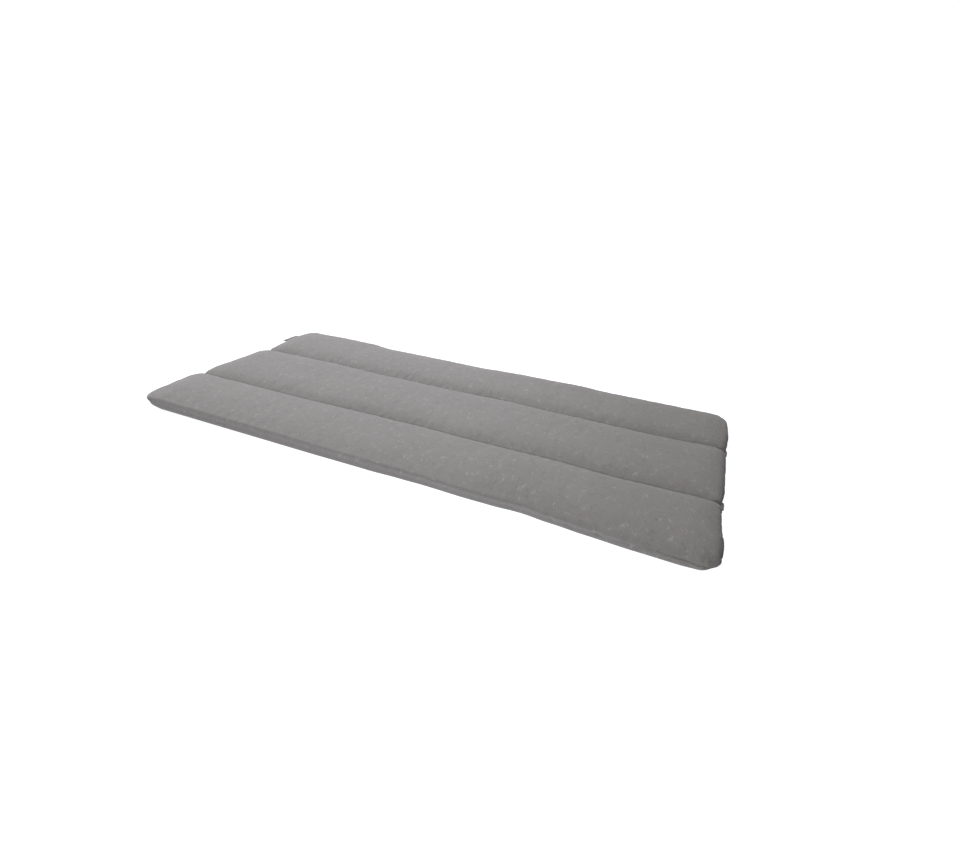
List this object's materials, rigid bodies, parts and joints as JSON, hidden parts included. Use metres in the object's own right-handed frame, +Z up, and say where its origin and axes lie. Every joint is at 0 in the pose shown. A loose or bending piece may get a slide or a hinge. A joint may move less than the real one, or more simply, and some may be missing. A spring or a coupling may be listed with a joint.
{
  "type": "lounge sofa cushion",
  "caption": "Thin rectangular seat pad for a two-seat lounge sofa, lying flat, with lengthwise sewn channels and small folded end tabs.",
  "frame": {"origin": "middle of the underside, on the surface that the pad rests on", "axes": "+X runs along the pad from its left end to its right end, +Y from its front edge to its rear edge, +Z up out of the seat face"},
  "size_m": [1.3276, 0.6231, 0.0402],
  "materials": {
    "pad_cloth": "matt heathered grey woven polyester, fine plain weave with pale flecks",
    "tab_cloth": "matt darker grey folded cloth tape"
  },
  "bodies": {
    "root": {"cushion": "pad_cloth", "edge_tab_left": "tab_cloth", "edge_tab_right_rear": "tab_cloth", "edge_tab_right_front": "tab_cloth"}
  },
  "joints": []
}
